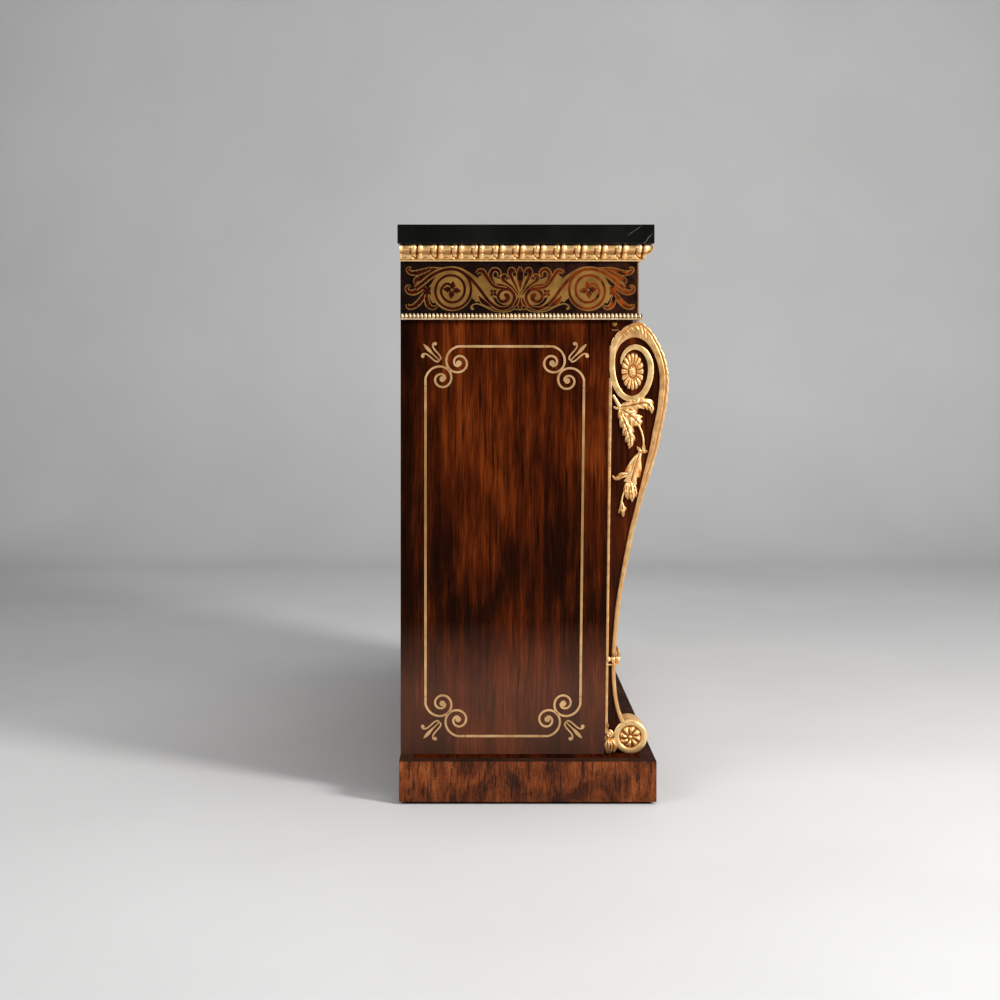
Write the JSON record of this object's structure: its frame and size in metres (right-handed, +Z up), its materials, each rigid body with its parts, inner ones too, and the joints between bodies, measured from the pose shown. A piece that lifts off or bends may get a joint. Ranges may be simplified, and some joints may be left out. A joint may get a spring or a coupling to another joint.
{
  "type": "chiffonier",
  "caption": "Rosewood side cabinet with brass inlay, gilt scroll consoles, a marble top and hinged doors over shelves.",
  "frame": {"origin": "middle of the footprint on the floor", "axes": "+X to the cabinet's right as seen from the front, -Y towards the front, +Z up"},
  "size_m": [1.1, 0.4321, 0.911],
  "materials": {
    "rosewood": "polished rosewood veneer",
    "carcass_mahogany": "plain mahogany",
    "dark_oak": "dark stained",
    "giltwood": "water gilding over carved wood",
    "brass": "lacquered",
    "marble": "polished black marble, white veins"
  },
  "bodies": {
    "cabinet": {"floor_runners": "dark_oak", "plinth_side_left": "rosewood", "plinth_side_right": "rosewood", "plinth_front": "rosewood", "plinth_back": "carcass_mahogany", "plinth_lid": "rosewood", "plinth_glue_blocks": "carcass_mahogany", "shelf_pins": "brass", "side_left": "rosewood", "side_right": "rosewood", "side_brass_lines": "brass", "pilaster_left": "rosewood", "pilaster_right": "rosewood", "back_panel": "carcass_mahogany", "cupboard_bottom": "carcass_mahogany", "shelf_lower": "carcass_mahogany", "shelf_upper": "carcass_mahogany", "frieze_left": "rosewood", "frieze_right": "rosewood", "frieze_front": "rosewood", "bead_left": "giltwood", "bead_right": "giltwood", "bead_front": "giltwood", "cornice_left": "giltwood", "cornice_right": "giltwood", "cornice_front": "giltwood", "frieze_back": "carcass_mahogany", "soffit": "carcass_mahogany", "top_board": "carcass_mahogany", "marble_top": "marble", "console_edgings": "giltwood", "console_cores": "rosewood", "console_feet": "giltwood", "console_foot_blocks": "giltwood", "console_collars": "giltwood", "console_volutes": "giltwood", "console_rosettes": "giltwood", "console_leaves": "giltwood", "hinge_fixed_leaves": "brass"},
    "door_left": {"door_left_hinge_stile": "rosewood", "door_left_meeting_stile": "rosewood", "door_left_top_rail": "rosewood", "door_left_bottom_rail": "rosewood", "door_left_panel": "rosewood", "door_left_brass_line": "brass", "door_left_hinge_leaves": "brass"},
    "door_right": {"door_right_hinge_stile": "rosewood", "door_right_meeting_stile": "rosewood", "door_right_top_rail": "rosewood", "door_right_bottom_rail": "rosewood", "door_right_panel": "rosewood", "door_right_brass_line": "brass", "door_right_hinge_leaves": "brass", "lock_case": "brass", "escutcheon": "brass"},
    "lock_bolt": {"lock_bolt": "brass"},
    "key": {"key": "brass"},
    "flush_bolt_head": {"flush_bolt_head": "brass"},
    "flush_bolt_foot": {"flush_bolt_foot": "brass"}
  },
  "joints": [
    {"name": "door_left_swing", "type": "hinge", "parent": "cabinet", "child": "door_left", "pos_m": [-0.4315, -0.10985, 0.4142], "axis": [0, 0, -1], "range_deg": [0, 90]},
    {"name": "door_right_swing", "type": "hinge", "parent": "cabinet", "child": "door_right", "pos_m": [0.4315, -0.10985, 0.4142], "axis": [0, 0, 1], "range_deg": [0, 90]},
    {"name": "key_turn", "type": "hinge", "parent": "door_right", "child": "key", "pos_m": [0.02325, -0.10555, 0.4042], "axis": [0, 1, 0], "range_deg": [0, 90]},
    {"name": "lock_bolt_throw", "type": "slide", "parent": "door_right", "child": "lock_bolt", "axis": [-1, 0, 0], "range_m": [0, 0.008]},
    {"name": "flush_bolt_head_slide", "type": "slide", "parent": "door_left", "child": "flush_bolt_head", "axis": [0, 0, 1], "range_m": [0, 0.011]},
    {"name": "flush_bolt_foot_slide", "type": "slide", "parent": "door_left", "child": "flush_bolt_foot", "axis": [0, 0, -1], "range_m": [0, 0.011]}
  ],
  "couplings": [
    {"joint": "key_turn", "follows": "lock_bolt_throw", "rad_per_m": 196.34}
  ]
}
